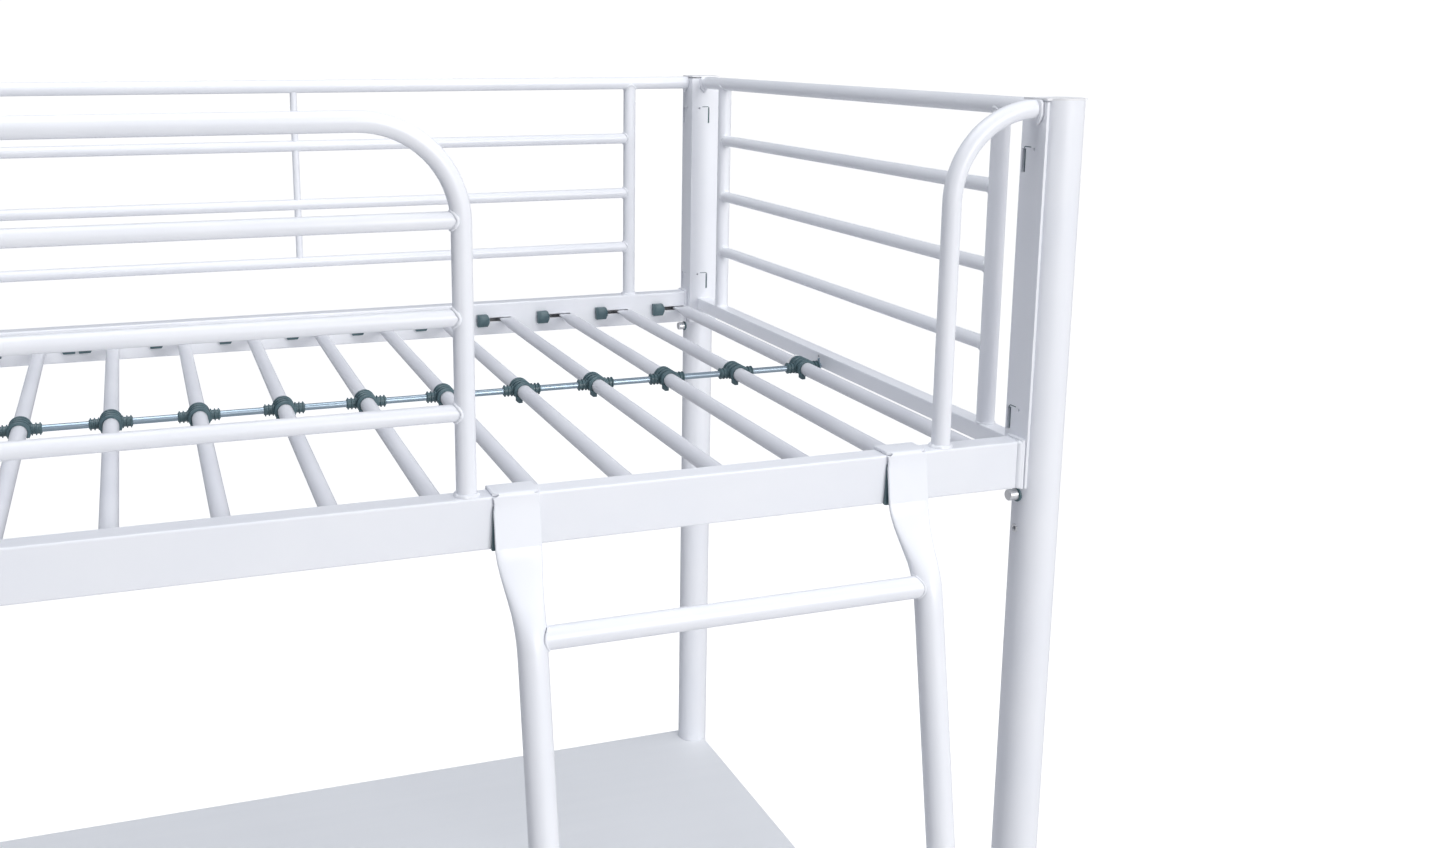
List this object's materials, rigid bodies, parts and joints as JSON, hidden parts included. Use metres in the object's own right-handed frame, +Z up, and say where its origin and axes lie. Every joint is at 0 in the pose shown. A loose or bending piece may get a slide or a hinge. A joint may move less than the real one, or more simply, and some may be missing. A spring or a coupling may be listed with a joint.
{
  "type": "loft bed with desk",
  "caption": "Tubular loft bed with guards on all sides, a deck of round slats tied by a rod, a ladder hooked over the front rail and a desk top underneath.",
  "frame": {"origin": "on the floor, at the middle of the footprint of bed and ladder together", "axes": "+X to the bed's right along its length, where the ladder is; +Y from the ladder side to the back guard; +Z up"},
  "size_m": [1.988, 1.2747, 1.85],
  "materials": {
    "frame_paint": "white powder coat, satin gloss",
    "slat_paint": "pale grey-white powder coat, satin",
    "clip_plastic": "moulded dark blue-grey plastic",
    "rod_steel": "blue-grey zinc plate",
    "bolt_steel": "bright zinc plate",
    "white_plastic": "white moulded plastic, fine matt",
    "desk_laminate": "pale grey laminated board, matt"
  },
  "bodies": {
    "bed_frame": {"front_left_post": "frame_paint", "front_right_post": "frame_paint", "back_left_post": "frame_paint", "back_right_post": "frame_paint", "post_top_caps": "white_plastic", "post_feet": "white_plastic", "front_side_rail": "frame_paint", "back_side_rail": "frame_paint", "left_end_rail": "frame_paint", "right_end_rail": "frame_paint", "front_guard_long": "frame_paint", "front_guard_short": "frame_paint", "back_guard": "frame_paint", "left_end_panel": "frame_paint", "right_end_panel": "frame_paint", "slat_01": "slat_paint", "slat_02": "slat_paint", "slat_03": "slat_paint", "slat_04": "slat_paint", "slat_05": "slat_paint", "slat_06": "slat_paint", "slat_07": "slat_paint", "slat_08": "slat_paint", "slat_09": "slat_paint", "slat_10": "slat_paint", "slat_11": "slat_paint", "slat_12": "slat_paint", "slat_13": "slat_paint", "slat_14": "slat_paint", "slat_15": "slat_paint", "slat_16": "slat_paint", "slat_17": "slat_paint", "slat_18": "slat_paint", "slat_19": "slat_paint", "slat_20": "slat_paint", "slat_plugs": "clip_plastic", "slat_clips": "clip_plastic", "centre_rod": "rod_steel", "end_collars": "white_plastic", "desk_top": "desk_laminate", "desk_front_beam": "frame_paint", "desk_back_beam": "frame_paint", "desk_left_crossbar": "frame_paint", "desk_right_crossbar": "frame_paint", "lower_left_crossbar": "frame_paint", "lower_right_crossbar": "frame_paint", "back_stretcher": "frame_paint", "joint_bolts": "bolt_steel", "desk_screws": "bolt_steel"},
    "ladder": {"ladder_left_stile": "frame_paint", "ladder_right_stile": "frame_paint", "ladder_left_hook": "frame_paint", "ladder_right_hook": "frame_paint", "ladder_rung_1": "frame_paint", "ladder_rung_2": "frame_paint", "ladder_rung_3": "frame_paint", "ladder_rung_4": "frame_paint", "ladder_rung_5": "frame_paint", "ladder_feet": "white_plastic"}
  },
  "joints": [
    {"name": "ladder_lift", "type": "slide", "parent": "bed_frame", "child": "ladder", "axis": [0, 0, 1], "range_m": [0, 0.1]}
  ]
}
